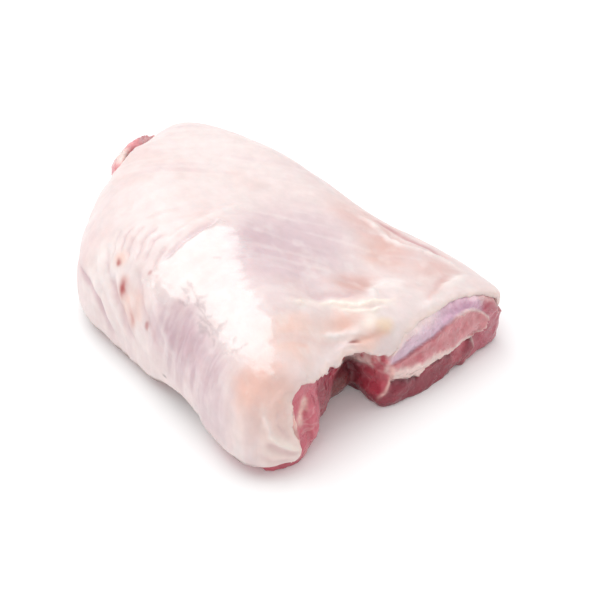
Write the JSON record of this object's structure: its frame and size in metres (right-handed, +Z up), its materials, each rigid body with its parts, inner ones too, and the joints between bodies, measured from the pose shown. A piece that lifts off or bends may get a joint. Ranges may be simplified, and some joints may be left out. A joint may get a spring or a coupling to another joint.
{
  "type": "turkey thigh",
  "caption": "Raw skin-on turkey thigh lying skin side up: dark meat under a draped sheet of pale skin, with a wedge-shaped cleft between the lobes of its cut front end.",
  "frame": {"origin": "middle of the thigh's bounding box, on the surface that it rests on", "axes": "+X from the humped side to the low flap, +Y from the cut front end with the cleft to the narrower back end, +Z up through the skin"},
  "size_m": [0.1432, 0.1886, 0.0592],
  "materials": {
    "meat": "moist raw meat with pale fat lines",
    "skin": "moist pale skin, soft sheen"
  },
  "bodies": {
    "root": {"meat": "meat", "skin": "skin"}
  },
  "joints": []
}
